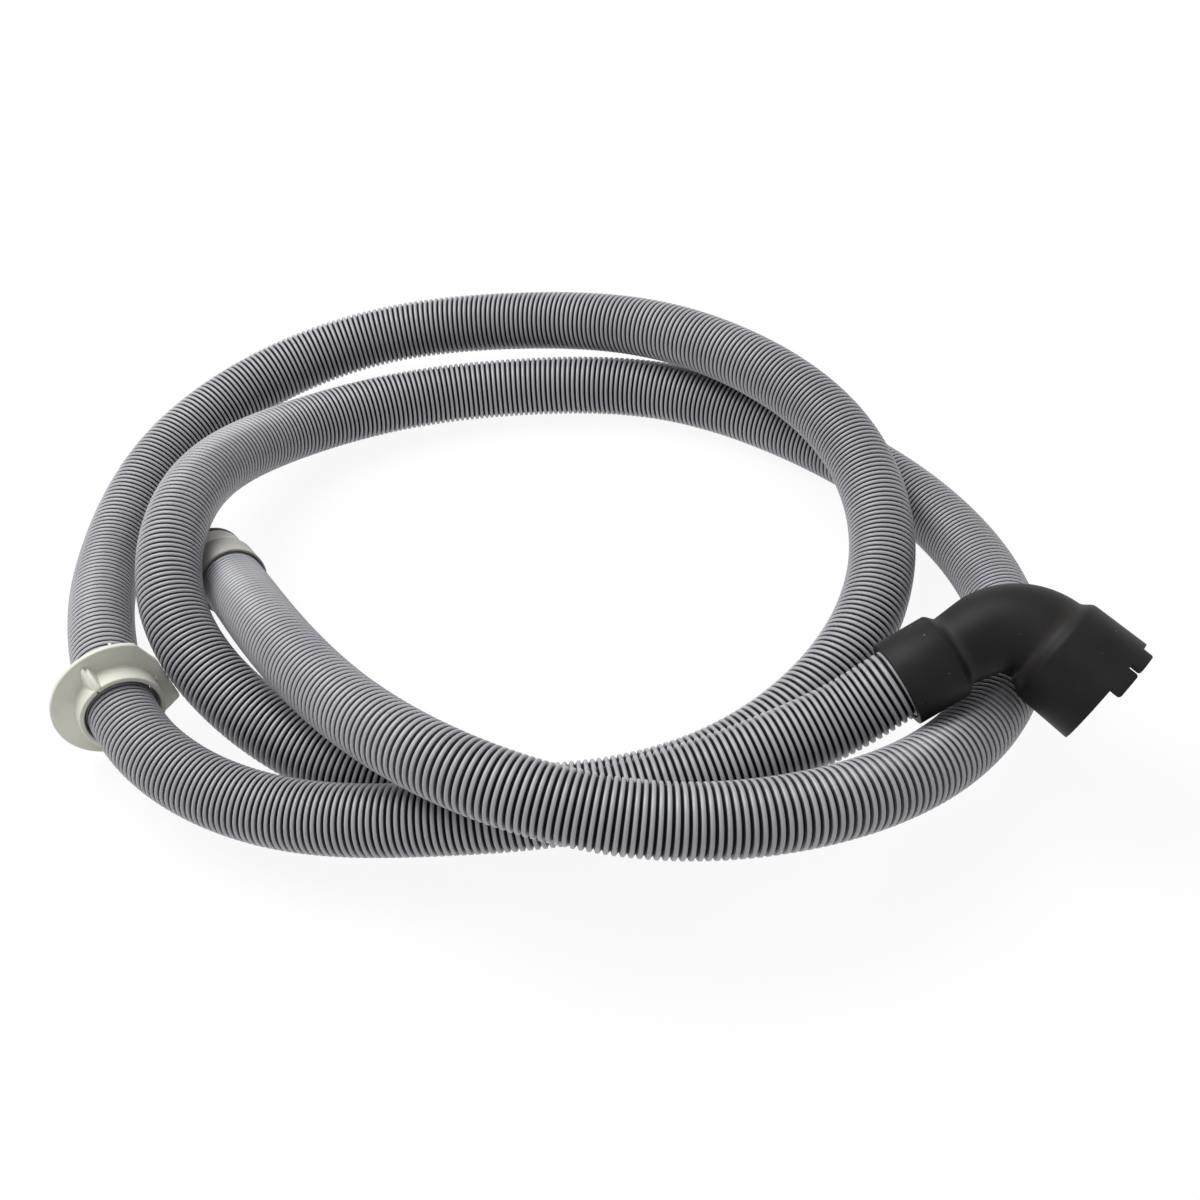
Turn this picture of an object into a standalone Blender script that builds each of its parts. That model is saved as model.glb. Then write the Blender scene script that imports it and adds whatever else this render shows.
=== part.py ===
# Dishwasher drain hose lying on a floor in loose coils: corrugated hose, black rubber elbow,
# grey rubber end cuff and a split panel grommet that slides along the hose.
# The frame: X to the right, Y away from the viewer, Z up, the floor at Z = 0.

import math

import bmesh
import bpy
import numpy as np
from mathutils import Matrix, Vector

# Gaps, metres
CLEARANCE = 0.0003

# Hose
HOSE_DIAMETER = 0.024
HOSE_STATIONS = 80
HOSE_SAMPLES = 40
HOSE_BEVEL_RESOLUTION = 4

# Centre line of the hose, from its end in the cuff to its end in the elbow
HOSE_ROUTE = (
    (-0.1304, 0.0592, 0.0166),
    (-0.1255, 0.0497, 0.0196),
    (-0.1132, 0.0235, 0.0296),
    (-0.1021, 0.0011, 0.0371),
    (-0.0765, -0.0398, 0.0476),
    (-0.0374, -0.0786, 0.0546),
    (0.0146, -0.0978, 0.0486),
    (0.0696, -0.0949, 0.0416),
    (0.1186, -0.0687, 0.0306),
    (0.1488, -0.0236, 0.0216),
    (0.1494, 0.0297, 0.0161),
    (0.0894, 0.1220, 0.0121),
    (0.0416, 0.1515, 0.0121),
    (-0.0124, 0.1613, 0.0121),
    (-0.0684, 0.1551, 0.0146),
    (-0.1153, 0.1290, 0.0226),
    (-0.1418, 0.0735, 0.0388),
    (-0.1410, 0.0228, 0.0333),
    (-0.1093, -0.0204, 0.0196),
    (-0.0094, -0.0592, 0.0121),
    (0.0463, -0.0495, 0.0132),
    (0.0912, -0.0185, 0.0206),
    (0.1143, 0.0314, 0.0276),
    (0.1086, 0.0834, 0.0356),
    (0.0783, 0.1309, 0.0381),
    (0.0355, 0.1678, 0.0336),
    (-0.0164, 0.1874, 0.0276),
    (-0.0725, 0.1889, 0.0246),
    (-0.1236, 0.1698, 0.0206),
    (-0.1628, 0.1288, 0.0156),
    (-0.1764, 0.0760, 0.0132),
    (-0.1694, 0.0204, 0.0216),
    (-0.1475, -0.0297, 0.0226),
    (-0.1014, -0.0620, 0.0216),
    (-0.0484, -0.0750, 0.0271),
    (0.0076, -0.0769, 0.0311),
    (0.0627, -0.0650, 0.0356),
    (0.0898, -0.0564, 0.0411),
    (0.1027, -0.0520, 0.0461),
    (0.1170, -0.0471, 0.0506),
)

# Elbow: a socket on the hose, a widening bend and a larger socket with two tabs
ELBOW_SOCKET_LENGTH = 0.0177
ELBOW_SOCKET_WALL = 0.0023
ELBOW_HOSE_DEPTH = 0.0155
ELBOW_NECK_LENGTH = 0.0131
ELBOW_NECK_RADIUS = 0.0121
ELBOW_BEND_RADIUS = 0.0176
ELBOW_BEND_ANGLE = math.radians(71.2)
ELBOW_BEND_END_RADIUS = 0.0162
ELBOW_STEP_LENGTH = 0.0035
ELBOW_SHOULDER_LENGTH = 0.0048
ELBOW_OUTLET_RADIUS = 0.0193
ELBOW_OUTLET_LENGTH = 0.0194
ELBOW_WALL = 0.002
ELBOW_EDGE = 0.0008
ELBOW_ROLL = math.radians(-28.7)
ELBOW_SIDES = 40
ELBOW_BEND_RINGS = 9

# Tab on the rim of the elbow's outlet and the slit that splits it,
# angles counted from the outside of the bend
TAB_START = math.radians(40.5)
TAB_END = math.radians(103.5)
TAB_LENGTH = 0.0036
TAB_CORNER = 0.001
SLIT_ANGLE = math.radians(71.3)
SLIT_WIDTH = 0.0012

# End cuff: a body on the hose and a narrower spigot
CUFF_BODY_LENGTH = 0.013
CUFF_STEP_LENGTH = 0.001
CUFF_SPIGOT_LENGTH = 0.0128
CUFF_WALL = 0.001
CUFF_SPIGOT_RADIUS = 0.0122
CUFF_PASSAGE_RADIUS = 0.010
CUFF_HOSE_DEPTH = 0.0115
CUFF_EDGE = 0.0006
CUFF_SIDES = 40

# Panel grommet: a flange with three flats, a collar and a latch across its split
GROMMET_CENTRE = (-0.1600, -0.0078, 0.0230)
GROMMET_HEADING = math.radians(-65.0)
GROMMET_LIFT = math.radians(5.0)
FLANGE_RADIUS = 0.0228
FLANGE_THICKNESS = 0.002
FLANGE_FLATS = (
    (math.radians(27.0), 0.0196),
    (math.radians(10.0), 0.0186),
    (math.radians(-60.0), 0.0187),
)
COLLAR_BORE_RADIUS = 0.0132
COLLAR_FOOT_RADIUS = 0.0147
COLLAR_RIM_RADIUS = 0.0150
COLLAR_LENGTH = 0.0081
GROMMET_SIDES = 64
SPLIT_ANGLE = math.radians(112.0)
SPLIT_WIDTH = 0.0006
SPLIT_REACH = 0.0186

# Latch beside the split: a web on one side and a lower fin on the other
WEB_WIDTH = 0.0022
WEB_TOP = 0.0074
WEB_SHOULDER_RADIUS = 0.0172
WEB_SHOULDER_HEIGHT = 0.0045
WEB_REACH = 0.0183
FIN_WIDTH = 0.0028
FIN_TIP_WIDTH = 0.0009
FIN_REACH = 0.0200
FIN_HEIGHT = 0.0042
FIN_TIP_HEIGHT = 0.002
LATCH_GAP = 0.0003
NUB_ANGLE = math.radians(15.0)
NUB_RADIUS = 0.0012
TOOTH_ANGLE = math.radians(78.0)
TOOTH_SIZE = 0.0016

# Colours, roughness
MATERIALS = {
    "hose": ((0.36, 0.36, 0.39, 1.0), 0.45),
    "elbow": ((0.03, 0.028, 0.028, 1.0), 0.6),
    "end_cuff": ((0.38, 0.37, 0.34, 1.0), 0.55),
    "panel_grommet": ((0.60, 0.60, 0.52, 1.0), 0.4),
}


def main():
    clear_scene()
    make_hose()
    make_elbow()
    make_cuff()
    make_grommet()


# Scene and materials

def clear_scene():
    for item in list(bpy.data.objects):
        bpy.data.objects.remove(item, do_unlink=True)


def make_material(name):
    colour, roughness = MATERIALS[name]
    material = bpy.data.materials.new(name)
    material.use_nodes = True
    shader = material.node_tree.nodes["Principled BSDF"]
    shader.inputs["Base Color"].default_value = colour
    shader.inputs["Roughness"].default_value = roughness
    shader.inputs["Metallic"].default_value = 0.0
    return material


def add_object(name, data):
    item = bpy.data.objects.new(name, data)
    bpy.context.scene.collection.objects.link(item)
    return item


def add_part(name, mesh, placement):
    """Turns a bmesh into a named, smooth shaded object at its placement."""
    bmesh.ops.recalc_face_normals(mesh, faces=mesh.faces[:])
    data = bpy.data.meshes.new(name)
    mesh.to_mesh(data)
    mesh.free()
    data.shade_smooth()
    data.set_sharp_from_angle(angle=math.radians(35.0))
    data.materials.append(make_material(name))
    item = add_object(name, data)
    item.matrix_world = placement
    return item


def add_helper(name, mesh, parent):
    """Keeps a cutter or an added form as a wire object that follows its parent."""
    bmesh.ops.recalc_face_normals(mesh, faces=mesh.faces[:])
    data = bpy.data.meshes.new(name)
    mesh.to_mesh(data)
    mesh.free()
    item = add_object(name, data)
    item.parent = parent
    item.hide_render = True
    item.display_type = "WIRE"
    return item


def boolean(item, helper, operation):
    modifier = item.modifiers.new(helper.name, "BOOLEAN")
    modifier.operation = operation
    modifier.solver = "EXACT"
    modifier.object = helper


# Hose

def second_derivatives(knots, points):
    """Second derivatives of the natural cubic spline through the points."""
    gaps = np.diff(knots)
    slopes = np.diff(points, axis=0) / gaps[:, None]
    size = len(points)
    system = np.eye(size)
    target = np.zeros((size, 3))
    for i in range(1, size - 1):
        system[i, i - 1] = gaps[i - 1]
        system[i, i] = 2.0 * (gaps[i - 1] + gaps[i])
        system[i, i + 1] = gaps[i]
        target[i] = 6.0 * (slopes[i] - slopes[i - 1])
    return np.linalg.solve(system, target)


def spline_points(points, samples_per_gap):
    """Points on the natural cubic spline, with chord lengths as its parameter."""
    points = np.array(points)
    knots = np.concatenate(([0.0], np.cumsum(np.linalg.norm(np.diff(points, axis=0), axis=1))))
    bends = second_derivatives(knots, points)
    curve = [points[0]]
    for i in range(len(points) - 1):
        gap = knots[i + 1] - knots[i]
        for j in range(1, samples_per_gap + 1):
            b = j / samples_per_gap
            a = 1.0 - b
            bow = ((a ** 3 - a) * bends[i] + (b ** 3 - b) * bends[i + 1]) * gap ** 2 / 6.0
            curve.append(a * points[i] + b * points[i + 1] + bow)
    return np.array(curve)


def even_points(curve, count):
    """Points at equal distances along a finely sampled curve."""
    lengths = np.concatenate(([0.0], np.cumsum(np.linalg.norm(np.diff(curve, axis=0), axis=1))))
    places = np.linspace(0.0, lengths[-1], count)
    return np.stack([np.interp(places, lengths, curve[:, axis]) for axis in range(3)], axis=1)


def hose_stations():
    """The hose's points: straight inside each end piece, evenly spaced between them."""
    curve = spline_points(HOSE_ROUTE, HOSE_SAMPLES)
    free = even_points(curve[HOSE_SAMPLES:-HOSE_SAMPLES], HOSE_STATIONS - 2)
    return [curve[0], *free, curve[-1]]


def make_hose():
    data = bpy.data.curves.new("hose", "CURVE")
    data.dimensions = "3D"
    data.bevel_depth = HOSE_DIAMETER / 2.0
    data.bevel_resolution = HOSE_BEVEL_RESOLUTION
    data.use_fill_caps = True
    spline = data.splines.new("POLY")
    spline.points.add(HOSE_STATIONS - 1)
    for point, station in zip(spline.points, hose_stations()):
        point.co = (*station, 1.0)
    data.materials.append(make_material("hose"))
    return add_object("hose", data)


def end_frame(end, before, depth, roll):
    """Placement at a piece's mouth: X runs into the piece along the hose, Y is level at no roll."""
    end = Vector(end)
    along = (end - Vector(before)).normalized()
    level = along.cross(Vector((0.0, 0.0, 1.0))).normalized()
    rise = level.cross(along)
    across = math.cos(roll) * level + math.sin(roll) * rise
    normal = along.cross(across)
    turn = Matrix((along, across, normal)).transposed().to_4x4()
    return Matrix.Translation(end - along * depth) @ turn


# Rings and skins

def is_vert(item):
    return isinstance(item, bmesh.types.BMVert)


def closed_skin(frames_and_radii, sides):
    """One closed body: a circle extruded from ring to ring and back to the first."""
    mesh = bmesh.new()
    frame, radius = frames_and_radii[0]
    half_face = Matrix.Rotation(math.pi / sides, 4, "Z")
    bmesh.ops.create_circle(mesh, segments=sides, radius=radius, matrix=frame @ half_face)
    ring = mesh.edges[:]
    for next_frame, next_radius in frames_and_radii[1:] + frames_and_radii[:1]:
        grown = bmesh.ops.extrude_edge_only(mesh, edges=ring)["geom"]
        verts = [item for item in grown if is_vert(item)]
        ring = [edge for edge in mesh.edges if edge.verts[0] in verts and edge.verts[1] in verts]
        scale = next_radius / radius
        resize = Matrix.Diagonal((scale, scale, 1.0, 1.0))
        bmesh.ops.transform(mesh, matrix=next_frame @ resize @ frame.inverted(), verts=verts)
        frame, radius = next_frame, next_radius
    bmesh.ops.remove_doubles(mesh, verts=mesh.verts[:], dist=1e-6)
    return mesh


def straight_frame(distance):
    """Ring frame on a straight axis along X: its Z is the axis."""
    return Matrix.Translation((distance, 0.0, 0.0)) @ ring_turn(0.0)


def ring_turn(heading):
    """Turn that lays a circle across a heading in the XY plane, its X to the outside of the bend."""
    outer = Vector((math.sin(heading), -math.cos(heading), 0.0))
    along = Vector((math.cos(heading), math.sin(heading), 0.0))
    return Matrix((outer, along.cross(outer), along)).transposed().to_4x4()


def block(size, frame):
    mesh = bmesh.new()
    bmesh.ops.create_cube(mesh, size=1.0, matrix=frame @ Matrix.Diagonal((*size, 1.0)))
    return mesh


# Elbow

def elbow_bend_start():
    return ELBOW_SOCKET_LENGTH + ELBOW_NECK_LENGTH


def elbow_bend_end():
    return elbow_bend_start() + ELBOW_BEND_RADIUS * ELBOW_BEND_ANGLE


def elbow_outlet_end():
    return elbow_bend_end() + ELBOW_SHOULDER_LENGTH + ELBOW_OUTLET_LENGTH


def elbow_frame(distance):
    """Ring frame on the elbow's centre line, which bends towards +Y."""
    start = elbow_bend_start()
    heading = min(max((distance - start) / ELBOW_BEND_RADIUS, 0.0), ELBOW_BEND_ANGLE)
    place = Vector((min(distance, start), 0.0, 0.0))
    place += ELBOW_BEND_RADIUS * Vector((math.sin(heading), 1.0 - math.cos(heading), 0.0))
    beyond = max(distance - elbow_bend_end(), 0.0)
    place += beyond * Vector((math.cos(heading), math.sin(heading), 0.0))
    return Matrix.Translation(place) @ ring_turn(heading)


def elbow_bend_profile(inset):
    """Distances and radii from the neck to the shoulder, widening evenly."""
    start = ELBOW_SOCKET_LENGTH + ELBOW_STEP_LENGTH
    end = elbow_bend_end()
    distances = [start]
    for i in range(ELBOW_BEND_RINGS):
        distances.append(elbow_bend_start() + (end - elbow_bend_start()) * i / (ELBOW_BEND_RINGS - 1))
    widening = ELBOW_BEND_END_RADIUS - ELBOW_NECK_RADIUS
    return [
        (distance, ELBOW_NECK_RADIUS + widening * (distance - start) / (end - start) - inset)
        for distance in distances
    ]


def elbow_profile():
    bore = HOSE_DIAMETER / 2.0 + CLEARANCE
    socket = bore + ELBOW_SOCKET_WALL
    outlet_start = elbow_bend_end() + ELBOW_SHOULDER_LENGTH
    stop = ELBOW_HOSE_DEPTH + CLEARANCE
    outer = [(0.0, socket - ELBOW_EDGE), (ELBOW_EDGE, socket), (ELBOW_SOCKET_LENGTH, socket)]
    outer += elbow_bend_profile(0.0)
    outer += [(outlet_start, ELBOW_OUTLET_RADIUS), (elbow_outlet_end(), ELBOW_OUTLET_RADIUS)]
    inner = [(0.0, bore), (stop, bore), (stop, ELBOW_NECK_RADIUS - ELBOW_WALL)]
    inner += elbow_bend_profile(ELBOW_WALL)
    inner += [
        (outlet_start, ELBOW_OUTLET_RADIUS - ELBOW_WALL),
        (elbow_outlet_end(), ELBOW_OUTLET_RADIUS - ELBOW_WALL),
    ]
    return outer + inner[::-1]


def extrude_tab(mesh):
    """Raises the rim's faces between the tab's two angles and rounds the tab's corners."""
    frame = elbow_frame(elbow_outlet_end())
    along = frame.col[2].xyz
    to_rim = frame.inverted()
    chosen = []
    for face in mesh.faces:
        centre = to_rim @ face.calc_center_median()
        angle = math.atan2(centre.y, centre.x)
        if abs(centre.z) < 1e-6 and TAB_START < angle < TAB_END:
            chosen.append(face)
    grown = bmesh.ops.extrude_face_region(mesh, geom=chosen)
    moved = [item for item in grown["geom"] if is_vert(item)]
    bmesh.ops.delete(mesh, geom=chosen, context="FACES")
    bmesh.ops.translate(mesh, verts=moved, vec=along * TAB_LENGTH)
    corners = []
    for edge in {edge for vert in moved for edge in vert.link_edges}:
        middle = to_rim @ ((edge.verts[0].co + edge.verts[1].co) / 2.0)
        angle = math.atan2(middle.y, middle.x)
        radial = abs(edge.calc_length() - ELBOW_WALL) < 1e-6
        at_end = min(abs(angle - TAB_START), abs(angle - TAB_END)) < 1e-4
        if radial and at_end and middle.z > TAB_LENGTH / 2.0:
            corners.append(edge)
    bmesh.ops.bevel(
        mesh,
        geom=corners,
        offset=TAB_CORNER,
        segments=3,
        profile=0.5,
        affect="EDGES",
        material=-1,
    )


def slit_cutter():
    """Thin block across the rim that splits the tab down to the outlet's edge."""
    frame = elbow_frame(elbow_outlet_end())
    reach = ELBOW_OUTLET_RADIUS - ELBOW_WALL / 2.0
    turn = Matrix.Rotation(SLIT_ANGLE, 4, "Z") @ Matrix.Translation((reach, 0.0, TAB_LENGTH))
    return block((3.0 * ELBOW_WALL, SLIT_WIDTH, 2.0 * TAB_LENGTH), frame @ turn)


def make_elbow():
    rings = [(elbow_frame(distance), radius) for distance, radius in elbow_profile()]
    mesh = closed_skin(rings, ELBOW_SIDES)
    bmesh.ops.recalc_face_normals(mesh, faces=mesh.faces[:])
    extrude_tab(mesh)
    placement = end_frame(HOSE_ROUTE[-1], HOSE_ROUTE[-2], ELBOW_HOSE_DEPTH, ELBOW_ROLL)
    elbow = add_part("elbow", mesh, placement)
    boolean(elbow, add_helper("slit", slit_cutter(), elbow), "DIFFERENCE")
    return elbow


# End cuff

def cuff_profile():
    bore = HOSE_DIAMETER / 2.0 + CLEARANCE
    body = bore + CUFF_WALL
    stop = CUFF_HOSE_DEPTH + CLEARANCE
    spigot_start = CUFF_BODY_LENGTH + CUFF_STEP_LENGTH
    end = spigot_start + CUFF_SPIGOT_LENGTH
    outer = [
        (0.0, body - CUFF_EDGE),
        (CUFF_EDGE, body),
        (CUFF_BODY_LENGTH, body),
        (spigot_start, CUFF_SPIGOT_RADIUS),
        (end - CUFF_EDGE, CUFF_SPIGOT_RADIUS),
        (end, CUFF_SPIGOT_RADIUS - CUFF_EDGE),
    ]
    inner = [(0.0, bore), (stop, bore), (stop, CUFF_PASSAGE_RADIUS), (end, CUFF_PASSAGE_RADIUS)]
    return outer + inner[::-1]


def make_cuff():
    rings = [(straight_frame(distance), radius) for distance, radius in cuff_profile()]
    placement = end_frame(HOSE_ROUTE[0], HOSE_ROUTE[1], CUFF_HOSE_DEPTH, 0.0)
    return add_part("end_cuff", closed_skin(rings, CUFF_SIDES), placement)


# Panel grommet

def grommet_placement():
    """Local Z points along the collar towards the viewer, local Y upwards."""
    flat = math.cos(GROMMET_LIFT)
    along = Vector((
        flat * math.cos(GROMMET_HEADING),
        flat * math.sin(GROMMET_HEADING),
        math.sin(GROMMET_LIFT),
    ))
    right = Vector((0.0, 0.0, 1.0)).cross(along).normalized()
    rise = along.cross(right)
    turn = Matrix((right, rise, along)).transposed().to_4x4()
    return Matrix.Translation(GROMMET_CENTRE) @ turn


def upright_frame(height):
    return Matrix.Translation((0.0, 0.0, height))


def polar(angle, radius, height):
    return Matrix.Rotation(angle, 4, "Z") @ Matrix.Translation((radius, 0.0, height))


def grommet_skin():
    profile = [
        (0.0, COLLAR_BORE_RADIUS),
        (0.0, FLANGE_RADIUS),
        (FLANGE_THICKNESS, FLANGE_RADIUS),
        (FLANGE_THICKNESS, COLLAR_FOOT_RADIUS),
        (FLANGE_THICKNESS + COLLAR_LENGTH, COLLAR_RIM_RADIUS),
        (FLANGE_THICKNESS + COLLAR_LENGTH, COLLAR_BORE_RADIUS),
    ]
    return closed_skin([(upright_frame(height), radius) for height, radius in profile], GROMMET_SIDES)


def make_grommet():
    placement = grommet_placement()
    placement = placement @ Matrix.Translation((0.0, 0.0, -FLANGE_THICKNESS))
    grommet = add_part("panel_grommet", grommet_skin(), placement)
    for number, (angle, distance) in enumerate(FLANGE_FLATS):
        size = (FLANGE_RADIUS, 2.0 * FLANGE_RADIUS, 3.0 * FLANGE_THICKNESS)
        frame = polar(angle, distance + FLANGE_RADIUS / 2.0, FLANGE_THICKNESS / 2.0)
        boolean(grommet, add_helper(f"flat_{number}", block(size, frame), grommet), "DIFFERENCE")
    for name, mesh in (("web", web()), ("fin", fin()), ("nub", nub()), ("tooth", tooth())):
        boolean(grommet, add_helper(name, mesh, grommet), "UNION")
    boolean(grommet, add_helper("split", split(), grommet), "DIFFERENCE")
    return grommet


def latch_root():
    """Radius and height, in the collar's wall and the flange, from which the latch grows."""
    return (COLLAR_BORE_RADIUS + COLLAR_FOOT_RADIUS) / 2.0, FLANGE_THICKNESS / 2.0


def web():
    """Gusset from the collar's rim down to the flange, on the clockwise side of the split."""
    root, base = latch_root()
    outline = (
        (root, base),
        (WEB_REACH, base),
        (WEB_REACH, FLANGE_THICKNESS + WEB_SHOULDER_HEIGHT / 3.0),
        (WEB_SHOULDER_RADIUS, FLANGE_THICKNESS + WEB_SHOULDER_HEIGHT),
        (root, FLANGE_THICKNESS + WEB_TOP),
    )
    mesh = bmesh.new()
    face = mesh.faces.new([mesh.verts.new((x, -LATCH_GAP, z)) for x, z in outline])
    grown = bmesh.ops.extrude_face_region(mesh, geom=[face])
    moved = [item for item in grown["geom"] if is_vert(item)]
    bmesh.ops.translate(mesh, verts=moved, vec=(0.0, -WEB_WIDTH, 0.0))
    bmesh.ops.transform(mesh, matrix=polar(SPLIT_ANGLE, 0.0, 0.0), verts=mesh.verts[:])
    return mesh


def fin():
    """Wedge that narrows and drops from the collar outwards, on the other side of the split."""
    root, base = latch_root()
    outline = (
        (root, LATCH_GAP, FIN_HEIGHT),
        (FIN_REACH, LATCH_GAP, FIN_TIP_HEIGHT),
        (FIN_REACH, FIN_TIP_WIDTH, FIN_TIP_HEIGHT),
        (root, LATCH_GAP + FIN_WIDTH, FIN_HEIGHT),
    )
    mesh = bmesh.new()
    face = mesh.faces.new([mesh.verts.new((x, y, base)) for x, y, height in outline])
    grown = bmesh.ops.extrude_face_region(mesh, geom=[face])
    moved = [item for item in grown["geom"] if is_vert(item)]
    for vert in moved:
        height = next(h for x, y, h in outline if abs(x - vert.co.x) + abs(y - vert.co.y) < 1e-6)
        vert.co.z = FLANGE_THICKNESS + height
    bmesh.ops.transform(mesh, matrix=polar(SPLIT_ANGLE, 0.0, 0.0), verts=mesh.verts[:])
    return mesh


def nub():
    mesh = bmesh.new()
    frame = polar(NUB_ANGLE, COLLAR_FOOT_RADIUS + NUB_RADIUS / 2.0, FLANGE_THICKNESS)
    bmesh.ops.create_icosphere(mesh, subdivisions=2, radius=NUB_RADIUS, matrix=frame)
    return mesh


def tooth():
    frame = polar(TOOTH_ANGLE, FLANGE_RADIUS - TOOTH_SIZE / 2.0, 0.0)
    return block((TOOTH_SIZE, TOOTH_SIZE, 2.0 * TOOTH_SIZE), frame)


def split():
    """Cutter through the collar and between the latch's two halves, out to the latch's end."""
    start = COLLAR_BORE_RADIUS - SPLIT_WIDTH
    length = SPLIT_REACH - start
    height = FLANGE_THICKNESS + COLLAR_LENGTH
    frame = polar(SPLIT_ANGLE, start + length / 2.0, height / 2.0)
    return block((length, SPLIT_WIDTH, 2.0 * height), frame)


main()
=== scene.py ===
import math

import bmesh
import bpy
import numpy as np
from mathutils import Matrix, Vector


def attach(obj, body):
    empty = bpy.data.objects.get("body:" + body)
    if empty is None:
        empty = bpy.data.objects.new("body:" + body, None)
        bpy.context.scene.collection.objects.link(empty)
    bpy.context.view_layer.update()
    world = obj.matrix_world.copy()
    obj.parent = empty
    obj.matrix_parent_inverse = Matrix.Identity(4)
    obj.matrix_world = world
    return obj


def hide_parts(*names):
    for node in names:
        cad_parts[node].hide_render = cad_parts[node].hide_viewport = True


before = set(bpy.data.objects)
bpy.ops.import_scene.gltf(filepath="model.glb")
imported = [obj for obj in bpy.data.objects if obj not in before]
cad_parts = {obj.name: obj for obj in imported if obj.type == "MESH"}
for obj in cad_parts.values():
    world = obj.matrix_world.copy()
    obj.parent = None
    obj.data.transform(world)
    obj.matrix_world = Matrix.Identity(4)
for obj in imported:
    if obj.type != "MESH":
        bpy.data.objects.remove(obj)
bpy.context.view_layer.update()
print("frame loaded:", ", ".join(sorted(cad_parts)))


# the camera stands where the photograph was taken from
camera = {
    "place": (0.0106, -0.4073, 0.4559),  # metres
    "lookDown": 45.35,  # degrees below level
    "roll": -4.97,
    "focalPixels": 1690.0,
    "pictureWidth": 1200.0,
}


def addCamera(settings):
    lens = bpy.data.cameras.new("photoCamera")
    lens.sensor_width = 36.0
    lens.lens = 36.0 * settings["focalPixels"] / settings["pictureWidth"]
    view = bpy.data.objects.new("photoCamera", lens)
    bpy.context.scene.collection.objects.link(view)
    pitch = Matrix.Rotation(math.radians(90.0 - settings["lookDown"]), 4, "X")
    roll = Matrix.Rotation(math.radians(settings["roll"]), 4, "Z")
    view.matrix_world = Matrix.Translation(settings["place"]) @ pitch @ roll
    bpy.context.scene.camera = view


addCamera(camera)
print("camera placed")


mergeDistance = 1e-6  # metres within which two points are one
skinDepth = 0.0001  # metres from low to high on a moulded skin


# sRGB hex to the linear colour that the shaders take
def linear(hexColour):
    channels = [int(hexColour[i:i + 2], 16) / 255.0 for i in (1, 3, 5)]
    return [c / 12.92 if c <= 0.04045 else ((c + 0.055) / 1.055) ** 2.4 for c in channels] + [1.0]


# one node with its own settings, its fixed inputs and what feeds it
def addNode(tree, kind, settings=None, inputs=None, links=None):
    node = tree.nodes.new(kind)
    for name, value in (settings or {}).items():
        setattr(node, name, value)
    for name, value in (inputs or {}).items():
        node.inputs[name].default_value = value
    for name, source in (links or {}).items():
        tree.links.new(source, node.inputs[name])
    return node


def startMaterial(name):
    material = bpy.data.materials.new(name)
    material.use_nodes = True
    return material, material.node_tree, material.node_tree.nodes["Principled BSDF"]


def perMetre(millimetres):
    return 1000.0 / millimetres


# two colours that drift into each other in clouds of a given size
def cloudyColour(tree, place, colours, settings):
    clouds = addNode(
        tree, "ShaderNodeTexNoise",
        inputs={"Scale": perMetre(settings["cloudMm"]), "Detail": settings["cloudDetail"]},
        links={"Vector": place},
    )
    low, high = settings["cloudBand"]
    share = addNode(
        tree, "ShaderNodeMapRange", inputs={"From Min": low, "From Max": high},
        links={"Value": clouds.outputs["Fac"]},
    )
    mixed = addNode(
        tree, "ShaderNodeMix", {"data_type": "RGBA"},
        {6: linear(colours[0]), 7: linear(colours[1])}, {0: share.outputs[0]},
    )
    return mixed.outputs[2]


# the faint unevenness of a moulded skin
def addSkin(tree, shader, place, settings):
    grain = addNode(
        tree, "ShaderNodeTexNoise", inputs={"Scale": perMetre(settings["skinMm"])}, links={"Vector": place},
    )
    bump = addNode(
        tree, "ShaderNodeBump", inputs={"Strength": settings["skinBump"], "Distance": skinDepth},
        links={"Height": grain.outputs["Fac"]},
    )
    tree.links.new(bump.outputs["Normal"], shader.inputs["Normal"])


# a piece's mesh, placed, closed, smooth and riding on the part's one body
def finishPiece(name, mesh, place, materials, node, sharpAngle=35.0):
    bmesh.ops.transform(mesh, matrix=place, verts=mesh.verts[:])
    bmesh.ops.recalc_face_normals(mesh, faces=mesh.faces[:])
    data = bpy.data.meshes.new(name)
    mesh.to_mesh(data)
    mesh.free()
    data.shade_smooth()
    data.set_sharp_from_angle(angle=math.radians(sharpAngle))
    for material in materials:
        data.materials.append(material)
    piece = bpy.data.objects.new(name, data)
    bpy.context.scene.collection.objects.link(piece)
    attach(piece, "root")
    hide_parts(node)
    print(name, "made:", len(data.polygons), "faces")
    return piece


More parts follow.
